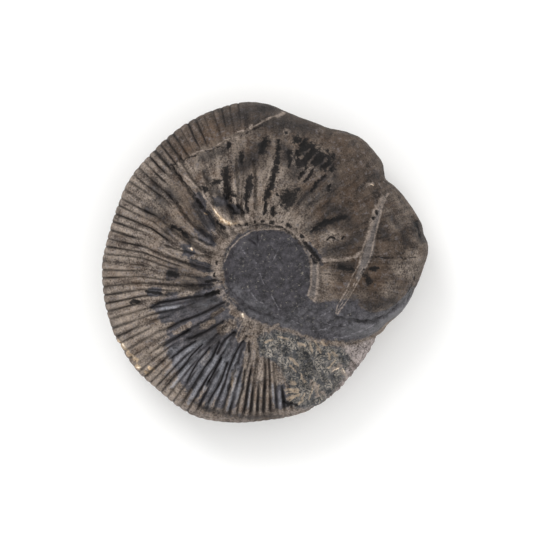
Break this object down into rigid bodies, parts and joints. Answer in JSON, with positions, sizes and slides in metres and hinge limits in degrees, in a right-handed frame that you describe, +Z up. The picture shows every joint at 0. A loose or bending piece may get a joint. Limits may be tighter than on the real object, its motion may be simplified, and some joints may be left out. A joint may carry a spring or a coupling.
{
  "type": "shaligram stone",
  "caption": "River-worn ammonite fossil in dark limestone: a coiled, ribbed disc with a smooth body chamber and a mudstone plug, lying on its worn flat underside.",
  "frame": {"origin": "on the flat worn face that the stone rests on, straight below the middle of the umbilicus", "axes": "+Z is up, square to the coil's middle plane; +X points to the body chamber, along the stone's longest extent; +Y is the top of the picture"},
  "size_m": [0.098, 0.0964, 0.0348],
  "materials": {
    "limestone": "dark river-worn limestone, satin where it is worn to slate grey and dull where a brown crust is left"
  },
  "bodies": {
    "root": {"ammonite_stone": "limestone"}
  },
  "joints": []
}
